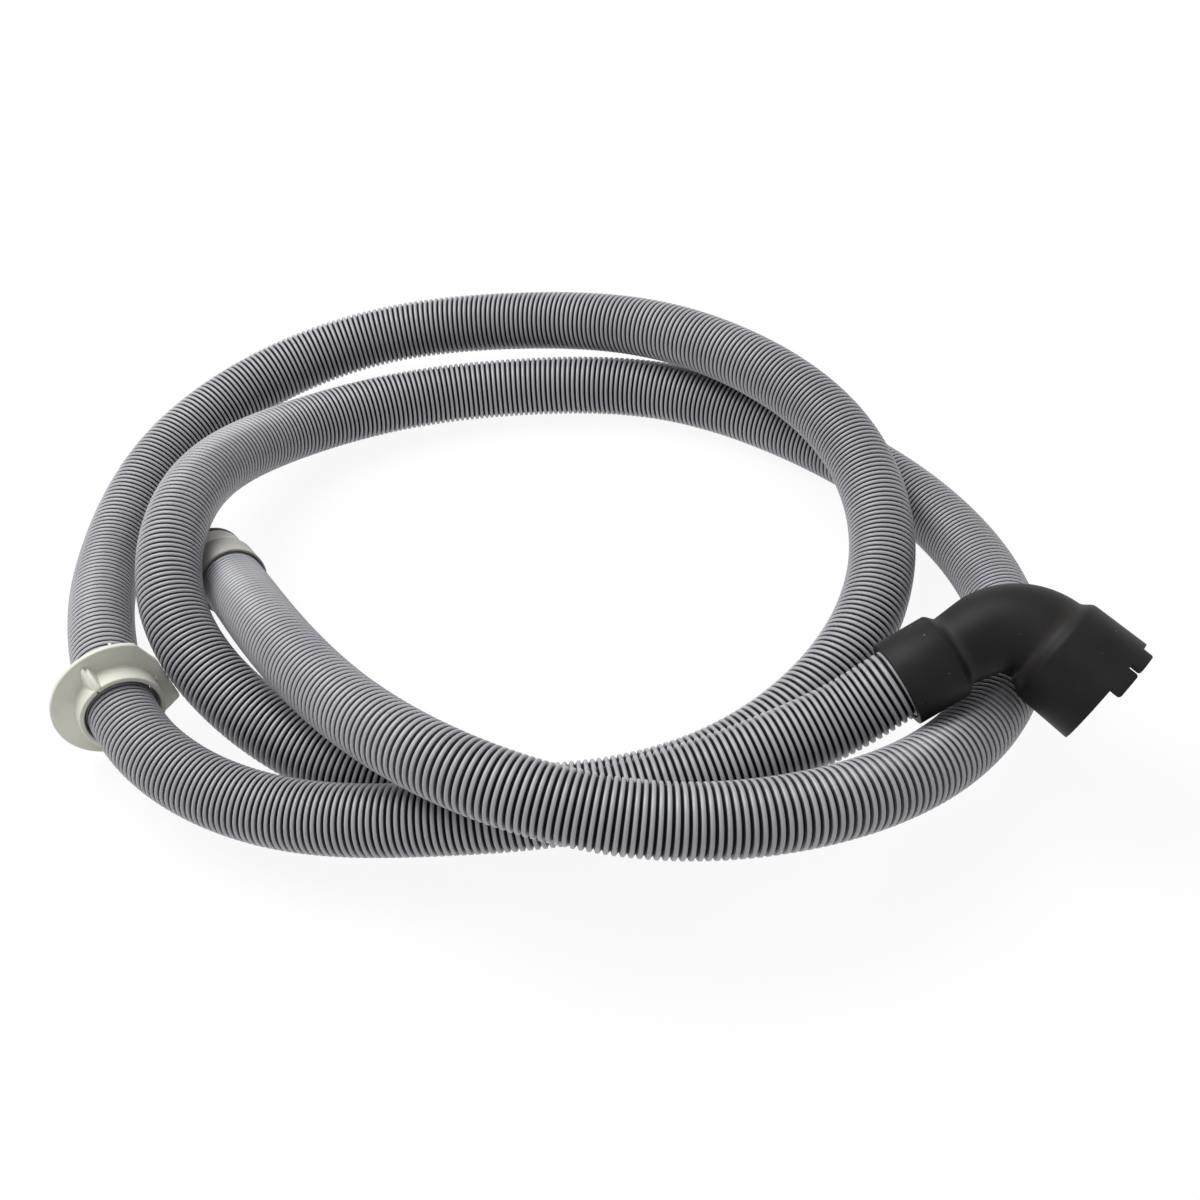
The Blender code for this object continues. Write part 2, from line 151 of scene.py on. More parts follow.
# the hose, from the end in the cuff to the end in the elbow
hose = {
    "diameter": 0.024,
    "length": 2.08,
    "sides": 32,
    "boreRadius": 0.0092,
    "boreStep": 0.012,
    "routeSamples": 100,  # between two points of the route
    "pitchSamples": 4000,
    "pathPoints": 240,
    "sharpAngle": 100.0,  # so that every ridge is smooth
    # share of the pitch, radius, how much of the valley's shade it takes
    "ridgeForm": ((0.0, 0.0106, 1.0), (0.31, 0.01195, 0.0), (0.69, 0.01195, 0.0)),
    # distance along the hose and the pitch there: its bends open and close the ridges
    "pitches": (
        (0.0, 0.00233), (0.15, 0.0024), (0.2, 0.0023), (0.31, 0.00262), (0.37, 0.0023), (0.43, 0.00185),
        (0.48, 0.00187), (0.57, 0.00214), (0.71, 0.00214), (0.79, 0.002), (0.83, 0.00218), (0.91, 0.002),
        (0.99, 0.00228), (1.1, 0.0025), (1.15, 0.00248), (1.2, 0.00222), (1.28, 0.00195), (1.38, 0.00223),
        (1.44, 0.00213), (1.55, 0.00214), (1.63, 0.00202), (1.71, 0.0025), (1.75, 0.0024), (1.79, 0.00195),
        (1.87, 0.00225), (1.99, 0.00238), (2.1, 0.00228),
    ),
    "route": (
        (-0.1304, 0.0592, 0.0166), (-0.1255, 0.0497, 0.0196), (-0.1132, 0.0235, 0.0296),
        (-0.1021, 0.0011, 0.0371), (-0.0765, -0.0398, 0.0476), (-0.0374, -0.0786, 0.0546),
        (0.0146, -0.0978, 0.0486), (0.0696, -0.0949, 0.0416), (0.1186, -0.0687, 0.0306),
        (0.1488, -0.0236, 0.0216), (0.1494, 0.0297, 0.0161), (0.0894, 0.1220, 0.0121),
        (0.0416, 0.1515, 0.0121), (-0.0124, 0.1613, 0.0121), (-0.0684, 0.1551, 0.0146),
        (-0.1153, 0.1290, 0.0226), (-0.1418, 0.0735, 0.0388), (-0.1410, 0.0228, 0.0333),
        (-0.1093, -0.0204, 0.0196), (-0.0094, -0.0592, 0.0121), (0.0463, -0.0495, 0.0132),
        (0.0912, -0.0185, 0.0206), (0.1143, 0.0314, 0.0276), (0.1086, 0.0834, 0.0356),
        (0.0783, 0.1309, 0.0381), (0.0355, 0.1678, 0.0336), (-0.0164, 0.1874, 0.0276),
        (-0.0725, 0.1889, 0.0246), (-0.1236, 0.1698, 0.0206), (-0.1628, 0.1288, 0.0156),
        (-0.1764, 0.0760, 0.0132), (-0.1694, 0.0204, 0.0216), (-0.1475, -0.0297, 0.0226),
        (-0.1014, -0.0620, 0.0216), (-0.0484, -0.0750, 0.0271), (0.0076, -0.0769, 0.0311),
        (0.0627, -0.0650, 0.0356), (0.0898, -0.0564, 0.0411), (0.1027, -0.0520, 0.0461),
        (0.1170, -0.0471, 0.0506),
    ),
}


# a natural cubic curve through the route's points
def smoothLine(points, samples):
    points = np.array(points)
    gaps = np.linalg.norm(np.diff(points, axis=0), axis=1)
    slopes = np.diff(points, axis=0) / gaps[:, None]
    system = np.eye(len(points))
    target = np.zeros_like(points)
    for i in range(1, len(points) - 1):
        system[i, i - 1:i + 2] = gaps[i - 1], 2.0 * (gaps[i - 1] + gaps[i]), gaps[i]
        target[i] = 6.0 * (slopes[i] - slopes[i - 1])
    bends = np.linalg.solve(system, target)
    line = [points[:1]]
    b = np.linspace(0.0, 1.0, samples + 1)[1:, None]
    a = 1.0 - b
    for i, gap in enumerate(gaps):
        bow = ((a ** 3 - a) * bends[i] + (b ** 3 - b) * bends[i + 1]) * gap ** 2 / 6.0
        line.append(a * points[i] + b * points[i + 1] + bow)
    return np.concatenate(line)


def distancesAlong(line):
    return np.concatenate(([0.0], np.cumsum(np.linalg.norm(np.diff(line, axis=0), axis=1))))


# directions across the line that turn with it and never twist round it
def carriedSides(line):
    along = np.gradient(line, axis=0)
    along /= np.linalg.norm(along, axis=1)[:, None]
    side = np.cross(along[0], (0.0, 0.0, 1.0))
    sides = []
    for direction in along:
        side = side - direction * np.dot(side, direction)
        side /= np.linalg.norm(side)
        sides.append(side)
    sides = np.array(sides)
    return sides, np.cross(along, sides)


# distance, radius and valley shade of each ring: out along the ridges, back inside the bore
def hoseRings(settings, total):
    fine = np.linspace(0.0, total, settings["pitchSamples"])
    pitches = np.interp(fine, *np.array(settings["pitches"]).T)
    count = np.concatenate(([0.0], np.cumsum(np.diff(fine) * 2.0 / (pitches[1:] + pitches[:-1]))))
    ridges = int(count[-1])
    count *= ridges / count[-1]
    rings = []
    for ridge in range(ridges):
        for share, radius, shade in settings["ridgeForm"]:
            rings.append((np.interp(ridge + share, count, fine), radius, shade))
    rings.append((total, settings["ridgeForm"][0][1], 1.0))
    steps = int(total / settings["boreStep"])
    for step in range(steps, -1, -1):
        rings.append((total * step / steps, settings["boreRadius"], 1.0))
    print("hose ridges:", ridges)
    return np.array(rings)


def makeHose(settings, material):
    line = smoothLine(settings["route"], settings["routeSamples"])
    distances = distancesAlong(line)
    sides, rises = carriedSides(line)
    rings = hoseRings(settings, distances[-1])

    def at(values):
        return np.stack([np.interp(rings[:, 0], distances, values[:, axis]) for axis in range(3)], axis=1)

    centres, sides, rises = at(line), at(sides), at(rises)
    turns, around = len(rings), settings["sides"]
    mesh = bmesh.new()
    mesh.loops.layers.uv.new("UVMap")
    paintedValleyShade = mesh.verts.layers.float.new("paintedValleyShade")
    bmesh.ops.create_grid(mesh, x_segments=turns, y_segments=around, size=0.5, calc_uvs=True)
    for vert in mesh.verts:
        ring = round((vert.co.x + 0.5) * turns) % turns
        angle = 2.0 * math.pi * (vert.co.y + 0.5)
        outwards = math.cos(angle) * sides[ring] + math.sin(angle) * rises[ring]
        vert.co = centres[ring] + rings[ring, 1] * outwards
        vert[paintedValleyShade] = rings[ring, 2]
    bmesh.ops.remove_doubles(mesh, verts=mesh.verts[:], dist=mergeDistance)
    piece = finishPiece(
        "corrugatedHose", mesh, Matrix.Identity(4), [material], "hose", settings["sharpAngle"],
    )
    marks = np.linspace(0.0, distances[-1], settings["pathPoints"])
    path = np.stack([np.interp(marks, distances, line[:, axis]) for axis in range(3)], axis=1)
    return piece, path


# polypropylene, extruded and corrugated on a chain of moulds: a satin grey whose crests catch
# the light, with the valleys painted near black as painted shade
hosePlastic = {
    "crest": ("#A5A5AA", "#9A9AA1"),
    # near-black painted shade for the deep grooves between the ridges
    "paintedValleyShade": "#18181A",
    "shadeBand": (0.16, 0.36),  # share of the valley's depth where the shade starts and is full
    "cloudMm": 28.0,
    "cloudDetail": 2.0,
    "cloudBand": (0.35, 0.65),
    "skinMm": 0.9,
    "skinBump": 0.15,
    "roughness": 0.36,
    "ior": 1.49,
}


def makeHosePlastic(settings):
    material, tree, shader = startMaterial("corrugatedPolypropylene")
    place = addNode(tree, "ShaderNodeTexCoord").outputs["Object"]
    crest = cloudyColour(tree, place, settings["crest"], settings)
    depth = addNode(tree, "ShaderNodeAttribute", {"attribute_name": "paintedValleyShade"})
    low, high = settings["shadeBand"]
    shade = addNode(
        tree, "ShaderNodeMapRange", {"interpolation_type": "SMOOTHSTEP"},
        {"From Min": low, "From Max": high}, {"Value": depth.outputs["Fac"]},
    )
    # lays the painted valley shade over the crest grey
    colour = addNode(
        tree, "ShaderNodeMix", {"data_type": "RGBA"},
        {7: linear(settings["paintedValleyShade"])}, {0: shade.outputs[0], 6: crest},
    )
    tree.links.new(colour.outputs[2], shader.inputs["Base Color"])
    addSkin(tree, shader, place, settings)
    shader.inputs["Roughness"].default_value = settings["roughness"]
    shader.inputs["IOR"].default_value = settings["ior"]
    return material


# a solid sleeve: a circle drawn out from ring to ring and back to the first
def sleeve(stations, sides, turn=0.0):
    mesh = bmesh.new()
    placed, radius = stations[0]
    spin = Matrix.Rotation(turn, 4, "Z")
    bmesh.ops.create_circle(mesh, segments=sides, radius=radius, matrix=placed @ spin)
    ring = mesh.edges[:]
    for nextPlace, nextRadius in stations[1:] + stations[:1]:
        grown = bmesh.ops.extrude_edge_only(mesh, edges=ring)["geom"]
        verts = {item for item in grown if isinstance(item, bmesh.types.BMVert)}
        ring = [
            item for item in grown
            if isinstance(item, bmesh.types.BMEdge) and verts.issuperset(item.verts)
        ]
        scale = nextRadius / radius
        resize = Matrix.Diagonal((scale, scale, 1.0, 1.0))
        bmesh.ops.transform(mesh, matrix=nextPlace @ resize @ placed.inverted(), verts=list(verts))
        placed, radius = nextPlace, nextRadius
    bmesh.ops.remove_doubles(mesh, verts=mesh.verts[:], dist=mergeDistance)
    bmesh.ops.recalc_face_normals(mesh, faces=mesh.faces[:])
    return mesh


# rounds every edge that is sharper than an angle
def soften(mesh, width, sharperThan, segments=3):
    limit = math.radians(sharperThan)
    sharp = [e for e in mesh.edges if len(e.link_faces) == 2 and e.calc_face_angle() > limit]
    bmesh.ops.bevel(
        mesh, geom=sharp, offset=width, segments=segments, profile=0.5,
        affect="EDGES", material=-1, clamp_overlap=True,
    )


# turn that lays a circle across a heading in the XY plane, its X to the outside of the bend
def acrossHeading(heading):
    outer = Vector((math.sin(heading), -math.cos(heading), 0.0))
    along = Vector((math.cos(heading), math.sin(heading), 0.0))
    return Matrix((outer, along.cross(outer), along)).transposed().to_4x4()


# place of a piece's mouth on the hose's end: X runs into the piece, Y is level at no roll
def onHoseEnd(end, before, depth, roll):
    along = (Vector(end) - Vector(before)).normalized()
    level = along.cross(Vector((0.0, 0.0, 1.0))).normalized()
    across = math.cos(roll) * level + math.sin(roll) * level.cross(along)
    turn = Matrix((along, across, along.cross(across))).transposed().to_4x4()
    return Matrix.Translation(Vector(end) - along * depth) @ turn


# from one value to another with an eased start and end
def eased(first, last, share):
    return first + (last - first) * (1.0 - math.cos(math.pi * share)) / 2.0


# the elbow: a small socket on the hose, a bend that widens and a large socket with a split tab
elbow = {
    "hoseDepth": 0.0155,
    "roll": -28.7,
    "boreRadius": 0.0123,
    "socketRadius": 0.0146,
    "socketLength": 0.0177,
    "stepLength": 0.0035,
    "neckLength": 0.0131,
    "neckRadius": 0.0121,
    "bendRadius": 0.0176,
    "bendAngle": 71.2,
    "bendEndRadius": 0.0162,
    "shoulderLength": 0.0048,
    "outletRootRadius": 0.0188,
    "outletRadius": 0.0193,
    "outletLength": 0.0194,
    "creaseWidth": 0.0016,
    "wall": 0.002,
    "sides": 75,
    "bendRings": 28,
    "stepRings": 6,
    "edge": 0.0004,
    "tabLength": 0.0036,
    "tabCorner": 0.001,
    "firstFace": 1.7,  # degrees, so that faces end on the slit
    "tabAngles": ((39.5, 68.5), (74.0, 103.0)),  # either side of the slit
    "sameAngle": 0.1,
    "sharperThan": 32.0,
    "stopGap": 0.0003,  # from the hose's end to its stop
}


def elbowStation(settings, distance):
    start = settings["socketLength"] + settings["neckLength"]
    bend = math.radians(settings["bendAngle"])
    heading = min(max((distance - start) / settings["bendRadius"], 0.0), bend)
    place = Vector((min(distance, start), 0.0, 0.0))
    place += settings["bendRadius"] * Vector((math.sin(heading), 1.0 - math.cos(heading), 0.0))
    beyond = max(distance - start - settings["bendRadius"] * bend, 0.0)
    place += beyond * Vector((math.cos(heading), math.sin(heading), 0.0))
    return Matrix.Translation(place) @ acrossHeading(heading)


# distances and radii of the outside, from the socket's shoulder to the outlet's mouth
def elbowOutside(settings):
    start = settings["socketLength"]
    bend = settings["bendRadius"] * math.radians(settings["bendAngle"])
    bendEnd = start + settings["neckLength"] + bend
    rings = []
    for i in range(settings["stepRings"] + 1):
        share = i / settings["stepRings"]
        radius = eased(settings["socketRadius"], settings["neckRadius"], share)
        rings.append((start + share * settings["stepLength"], radius))
    neck, neckRadius = rings[-1]
    for i in range(1, settings["bendRings"] + 1):
        share = i / settings["bendRings"]
        radius = neckRadius + share * (settings["bendEndRadius"] - neckRadius)
        rings.append((neck + share * (bendEnd - neck), radius))
    for i in range(1, settings["stepRings"] + 1):
        share = i / settings["stepRings"]
        radius = eased(settings["bendEndRadius"], settings["outletRootRadius"], share)
        rings.append((bendEnd + share * settings["shoulderLength"], radius))
    mouth = bendEnd + settings["shoulderLength"] + settings["outletLength"]
    rings.append((mouth, settings["outletRadius"]))
    return rings


def makeElbow(settings, material):
    outside = elbowOutside(settings)
    wall = settings["wall"]
    stop = settings["hoseDepth"] + settings["stopGap"]
    neck = settings["socketLength"] + settings["stepLength"]
    inside = [(distance, radius - wall) for distance, radius in outside if distance > neck]
    rings = [(0.0, settings["socketRadius"])] + outside + inside[::-1]
    rings += [
        (stop, settings["neckRadius"] - wall),
        (stop, settings["boreRadius"]),
        (0.0, settings["boreRadius"]),
    ]
    stations = [(elbowStation(settings, distance), radius) for distance, radius in rings]
    mesh = sleeve(stations, settings["sides"], math.radians(settings["firstFace"]))
    raiseTabs(mesh, settings, elbowStation(settings, outside[-1][0]))
    soften(mesh, settings["edge"], settings["sharperThan"])
    paintCreaseLight(mesh, settings)
    before, end = hose["route"][-2:]
    place = onHoseEnd(end, before, settings["hoseDepth"], math.radians(settings["roll"]))
    return finishPiece("rubberElbow", mesh, place, [material], "elbow")


# how far along the elbow's middle line a point lies
def distanceOnElbow(settings, point):
    start, radius = settings["socketLength"] + settings["neckLength"], settings["bendRadius"]
    bend = math.radians(settings["bendAngle"])
    heading = math.atan2(point.x - start, radius - point.y)
    if point.x < start:
        return point.x
    if heading < bend:
        return start + radius * heading
    local = elbowStation(settings, start + radius * bend).inverted() @ point
    return start + radius * bend + local.z


# marks the feet of both steps for a paler band of painted highlight
def paintCreaseLight(mesh, settings):
    start, radius = settings["socketLength"] + settings["neckLength"], settings["bendRadius"]
    bendEnd = start + radius * math.radians(settings["bendAngle"])
    feet = (settings["socketLength"] + settings["stepLength"], bendEnd)
    paintedCreaseLight = mesh.verts.layers.float.new("paintedCreaseLight")
    for vert in mesh.verts:
        off = min(abs(distanceOnElbow(settings, vert.co) - foot) for foot in feet)
        vert[paintedCreaseLight] = math.exp(-((off / settings["creaseWidth"]) ** 2))


# raises the rim between the tabs' angles, which leaves the slit, and rounds the outer corners
def raiseTabs(mesh, settings, rim):
    toRim = rim.inverted()
    along = rim.col[2].xyz
    sameAngle = settings["sameAngle"]

    def angleOf(point):
        local = toRim @ point
        return math.degrees(math.atan2(local.y, local.x)), local.z

    raised = []
    for low, high in settings["tabAngles"]:
        chosen = []
        for face in mesh.faces:
            angle, height = angleOf(face.calc_center_median())
            if abs(height) < mergeDistance and low < angle < high:
                chosen.append(face)
        grown = bmesh.ops.extrude_face_region(mesh, geom=chosen)["geom"]
        verts = [item for item in grown if isinstance(item, bmesh.types.BMVert)]
        bmesh.ops.delete(mesh, geom=chosen, context="FACES")
        bmesh.ops.translate(mesh, verts=verts, vec=along * settings["tabLength"])
        raised.append(verts)
    corners = []
    for verts in raised:
        angles = [angleOf(vert.co)[0] for vert in verts]
        for edge in {e for v in verts for e in v.link_edges}:
            ends = [angleOf(vert.co) for vert in edge.verts]
            onTop = min(ends[0][1], ends[1][1]) > settings["tabLength"] / 2.0
            radial = abs(ends[0][0] - ends[1][0]) < sameAngle
            atEnd = min(abs(ends[0][0] - min(angles)), abs(ends[0][0] - max(angles))) < sameAngle
            if onTop and radial and atEnd:
                corners.append(edge)
    bmesh.ops.bevel(
        mesh, geom=corners, offset=settings["tabCorner"], segments=4, profile=0.5,
        affect="EDGES", material=-1, clamp_overlap=True,
    )


# EPDM rubber, injection moulded and matte: near black, with a soft grey painted highlight at the feet
# of its steps and a few specks of dust and flash
elbowRubber = {
    "rubber": ("#141313", "#1D1B1B"),
    # colour of the painted highlight along the feet of the steps
    "paintedCreaseLight": "#2A2827",
    "dust": "#8C8A86",
    "cloudMm": 16.0,
    "cloudDetail": 3.0,
    "cloudBand": (0.35, 0.7),
    "dustCellMm": 4.5,
    "dustMm": 0.28,
    "dustShare": 0.7,
    "dustAreaMm": 9.0,
    "dustAreaBand": (0.5, 0.56),
    "skinMm": 0.7,
    "skinBump": 0.2,
    "roughness": 0.5,
    "ior": 1.52,
    "specular": 0.14,
}


# how much of each point is a speck of dust: small dots in scattered areas
def dustOnRubber(tree, place, settings):
    cells = addNode(
        tree, "ShaderNodeTexVoronoi", inputs={"Scale": perMetre(settings["dustCellMm"])},
        links={"Vector": place},
    )
    reach = settings["dustMm"] / settings["dustCellMm"]
    specks = addNode(
        tree, "ShaderNodeMapRange",
        inputs={"From Min": reach * 0.5, "From Max": reach, "To Min": settings["dustShare"], "To Max": 0.0},
        links={"Value": cells.outputs["Distance"]},
    )
    areas = addNode(
        tree, "ShaderNodeTexNoise", inputs={"Scale": perMetre(settings["dustAreaMm"])},
        links={"Vector": place},
    )
    low, high = settings["dustAreaBand"]
    patches = addNode(
        tree, "ShaderNodeMapRange", inputs={"From Min": low, "From Max": high},
        links={"Value": areas.outputs["Fac"]},
    )
    dusty = addNode(
        tree, "ShaderNodeMath", {"operation": "MULTIPLY"},
        links={0: specks.outputs[0], 1: patches.outputs[0]},
    )
    return dusty.outputs[0]


def makeElbowRubber(settings):
    material, tree, shader = startMaterial("mouldedRubber")
    place = addNode(tree, "ShaderNodeTexCoord").outputs["Object"]
    rubber = cloudyColour(tree, place, settings["rubber"], settings)
    foot = addNode(tree, "ShaderNodeAttribute", {"attribute_name": "paintedCreaseLight"})
    # mixes the painted highlight in at the feet of the steps
    withCreaseLight = addNode(
        tree, "ShaderNodeMix", {"data_type": "RGBA"},
        {7: linear(settings["paintedCreaseLight"])}, {0: foot.outputs["Fac"], 6: rubber},
    )
    colour = addNode(
        tree, "ShaderNodeMix", {"data_type": "RGBA"},
        {7: linear(settings["dust"])}, {0: dustOnRubber(tree, place, settings), 6: withCreaseLight.outputs[2]},
    )
    tree.links.new(colour.outputs[2], shader.inputs["Base Color"])
    addSkin(tree, shader, place, settings)
    shader.inputs["Roughness"].default_value = settings["roughness"]
    shader.inputs["IOR"].default_value = settings["ior"]
    shader.inputs["Specular IOR Level"].default_value = settings["specular"]
    return material


# the end cuff: a body on the hose, a narrower end and a dark rim
cuff = {
    "hoseDepth": 0.0115,
    "boreRadius": 0.0123,
    "bodyRadius": 0.0133,
    "bodyLength": 0.013,
    "stepLength": 0.001,
    "endRadius": 0.0122,
    "endLength": 0.0128,
    "passageRadius": 0.010,
    "sides": 96,
    "edge": 0.0005,
    "sharperThan": 32.0,
    "stopGap": 0.0003,  # from the hose's end to its stop
    "rimLength": 0.0034,
    "lipLength": 0.0011,
}


def makeCuff(settings, materials):
    endStart = settings["bodyLength"] + settings["stepLength"]
    total = endStart + settings["endLength"]
    stop = settings["hoseDepth"] + settings["stopGap"]
    rings = [
        (0.0, settings["bodyRadius"]),
        (settings["bodyLength"], settings["bodyRadius"]),
        (endStart, settings["endRadius"]),
        (total - settings["rimLength"], settings["endRadius"]),
        (total, settings["endRadius"]),
        (total, settings["passageRadius"]),
        (stop, settings["passageRadius"]),
        (stop, settings["boreRadius"]),
        (0.0, settings["boreRadius"]),
    ]
    across = acrossHeading(0.0)
    stations = [(Matrix.Translation((distance, 0.0, 0.0)) @ across, radius) for distance, radius in rings]
    mesh = sleeve(stations, settings["sides"])
    soften(mesh, settings["edge"], settings["sharperThan"])
    for face in mesh.faces:
        centre = face.calc_center_median()
        if centre.x > total - settings["rimLength"]:
            face.material_index = 2
        # the lip next to the hose takes the painted shade
        elif centre.x < settings["lipLength"]:
            face.material_index = 3
        elif centre.x > endStart:
            face.material_index = 1
    end, before = hose["route"][:2]
    place = onHoseEnd(end, before, settings["hoseDepth"], 0.0)
    return finishPiece("endCuff", mesh, place, materials, "end_cuff")


# thermoplastic rubber, moulded: warm grey and chalky, with a paler end, a dark rim and a lip painted darker
# as painted shade
cuffRubber = {
    "body": ("#ADABA6", "#B8B6B0"),
    "end": ("#E6E3DC", "#EFEDE8"),
    "rim": ("#42403E", "#4E4B49"),
    # painted shade on the lip next to the hose
    "lip": ("#7A7772", "#85827C"),
    "cloudMm": 7.0,
    "cloudDetail": 3.0,
    "cloudBand": (0.35, 0.65),
    "skinMm": 0.6,
    "skinBump": 0.2,
    "roughness": 0.58,
}


def makeCuffRubber(settings, zone):
    material, tree, shader = startMaterial("greyRubber" + zone.capitalize())
    place = addNode(tree, "ShaderNodeTexCoord").outputs["Object"]
    colour = cloudyColour(tree, place, settings[zone], settings)
    tree.links.new(colour, shader.inputs["Base Color"])
    addSkin(tree, shader, place, settings)
    shader.inputs["Roughness"].default_value = settings["roughness"]
    return material


# the panel grommet: a flange with flats, a collar, a split and the latch beside it
grommet = {
    "centre": (-0.1600, -0.0078, 0.0230),
    "heading": -65.0,
    "lift": 5.0,
    "flangeRadius": 0.0228,
    "flangeThickness": 0.002,
    "flats": ((27.0, 0.0196), (10.0, 0.0186), (-60.0, 0.0187)),
    "boreRadius": 0.0132,
    "backBoreRadius": 0.01215,
    "backBoreShift": (-0.0001, 0.0003, 0.0),  # where the hose runs through it
    "footRadius": 0.0147,
    "rimRadius": 0.0150,
    "collarLength": 0.0081,
    "steps": 150,
    "splitAngle": 112.0,
    "splitWidth": 0.0006,
    "splitReach": 0.0146,
    "edge": 0.0005,
    # points of the latch: radius, across the split, height above the flange
    "ridge": (
        (0.0136, -0.0026, -0.001), (0.0136, -0.0003, -0.001),
        (0.0188, -0.0022, -0.001), (0.0188, -0.0004, -0.001),
        (0.0188, -0.0021, 0.0026), (0.0188, -0.0006, 0.0030),
        (0.0168, -0.0022, 0.0066), (0.0168, -0.0006, 0.0068),
        (0.0152, -0.0022, 0.0084), (0.0152, -0.0003, 0.0086),
        (0.0136, -0.0020, 0.0084), (0.0136, -0.0003, 0.0085),
    ),
    "fin": (
        (0.0201, -0.0011, -0.001), (0.0199, 0.0004, -0.001),
        (0.0144, 0.0034, -0.001), (0.0144, -0.0008, -0.001),
        (0.0201, -0.0010, 0.0018), (0.0198, 0.0003, 0.0016),
        (0.0146, 0.0033, 0.0016), (0.0147, 0.0012, 0.0070),
        (0.0140, 0.0004, 0.0083), (0.0152, -0.0008, 0.0083), (0.0170, -0.0009, 0.0062),
    ),
    "latchEdge": 0.0004,
    "flatWithin": 4.0,  # degrees between faces of the latch that count as one
    "sharperThan": 20.0,
    "nub": {"angle": 9.5, "radius": 0.001},
    "tooth": {"angle": 78.0, "size": 0.0011, "edge": 0.0003, "sharperThan": 30.0},
}


def polar(angle, radius, height):
    return Matrix.Rotation(math.radians(angle), 4, "Z") @ Matrix.Translation((radius, 0.0, height))


# the ring: a profile spun all round, with its flats pressed in
def grommetRing(settings):
    thick = settings["flangeThickness"]
    top = thick + settings["collarLength"]
    profile = (
        (settings["backBoreRadius"], 0.0),
        (settings["flangeRadius"], 0.0),
        (settings["flangeRadius"], thick),
        (settings["footRadius"], thick),
        (settings["rimRadius"], top),
        (settings["boreRadius"], top),
    )
    mesh = bmesh.new()
    verts = [mesh.verts.new((r, 0.0, z)) for r, z in profile]
    edges = [mesh.edges.new((a, b)) for a, b in zip(verts, verts[1:] + verts[:1])]
    bmesh.ops.spin(
        mesh, geom=[*verts, *edges], cent=(0.0, 0.0, 0.0), axis=(0.0, 0.0, 1.0),
        angle=2.0 * math.pi, steps=settings["steps"], use_merge=True,
    )
    bmesh.ops.remove_doubles(mesh, verts=mesh.verts[:], dist=mergeDistance)
    backRing = [v for v in mesh.verts if v.co.z < mergeDistance and v.co.length < settings["boreRadius"]]
    bmesh.ops.translate(mesh, verts=backRing, vec=settings["backBoreShift"])
    for angle, distance in settings["flats"]:
        normal = Vector((math.cos(math.radians(angle)), math.sin(math.radians(angle)), 0.0))
        for vert in mesh.verts:
            reach = vert.co.dot(normal)
            if reach > distance:
                vert.co.x *= distance / reach
                vert.co.y *= distance / reach
    bmesh.ops.recalc_face_normals(mesh, faces=mesh.faces[:])
    soften(mesh, settings["edge"], settings["sharperThan"])
    return mesh


# the slot in the collar, cut out to where the latch closes it
def splitCutter(settings):
    start = settings["boreRadius"] - settings["splitWidth"]
    length = settings["splitReach"] - start
    size = (length, settings["splitWidth"], 4.0 * settings["collarLength"])
    mesh = bmesh.new()
    place = polar(settings["splitAngle"], start + length / 2.0, settings["flangeThickness"])
    bmesh.ops.create_cube(mesh, size=1.0, matrix=place @ Matrix.Diagonal((*size, 1.0)))
    return mesh


# half of the latch, stretched over its points and turned to the split: a ridge that crosses the
# rim, or a fin that widens towards the collar
def stretchedForm(settings, points):
    mesh = bmesh.new()
    foot = settings["flangeThickness"]
    verts = [mesh.verts.new((radius, across, foot + height)) for radius, across, height in points]
    hull = bmesh.ops.convex_hull(mesh, input=verts)
    spare = set(hull["geom_interior"] + hull["geom_unused"])
    inner = [item for item in spare if isinstance(item, bmesh.types.BMVert)]
    bmesh.ops.delete(mesh, geom=inner, context="VERTS")
    bmesh.ops.dissolve_limit(
        mesh, angle_limit=math.radians(settings["flatWithin"]), verts=mesh.verts[:], edges=mesh.edges[:],
    )
    bmesh.ops.recalc_face_normals(mesh, faces=mesh.faces[:])
    soften(mesh, settings["latchEdge"], settings["sharperThan"])
    bmesh.ops.transform(mesh, matrix=polar(settings["splitAngle"], 0.0, 0.0), verts=mesh.verts[:])
    return mesh


def grommetNub(settings):
    nub = settings["nub"]
    mesh = bmesh.new()
    place = polar(nub["angle"], settings["footRadius"] + nub["radius"] / 2.0, settings["flangeThickness"])
    bmesh.ops.create_icosphere(mesh, subdivisions=3, radius=nub["radius"], matrix=place)
    return mesh


def grommetTooth(settings):
    tooth = settings["tooth"]
    size = tooth["size"]
    mesh = bmesh.new()
    place = polar(tooth["angle"], settings["flangeRadius"] - size / 2.0, 0.0)
    bmesh.ops.create_cube(mesh, size=1.0, matrix=place @ Matrix.Diagonal((size, size, 2.0 * size, 1.0)))
    soften(mesh, tooth["edge"], tooth["sharperThan"], 2)
    return mesh


# one closed mesh from a base, the forms that grow out of it and a cut through them all
def joinForms(base, forms, cut):
    helpers = []
    for index, mesh in enumerate([base, *forms, cut]):
        data = bpy.data.meshes.new(f"form{index}")
        mesh.to_mesh(data)
        mesh.free()
        helper = bpy.data.objects.new(f"form{index}", data)
        bpy.context.scene.collection.objects.link(helper)
        helpers.append(helper)
    for helper in helpers[1:]:
        change = helpers[0].modifiers.new(helper.name, "BOOLEAN")
        change.operation = "DIFFERENCE" if helper == helpers[-1] else "UNION"
        change.solver = "EXACT"
        change.object = helper
    joined = bmesh.new()
    evaluated = helpers[0].evaluated_get(bpy.context.evaluated_depsgraph_get())
    joined.from_mesh(evaluated.to_mesh())
    evaluated.to_mesh_clear()
    for helper in helpers:
        data = helper.data
        bpy.data.objects.remove(helper)
        bpy.data.meshes.remove(data)
    return joined


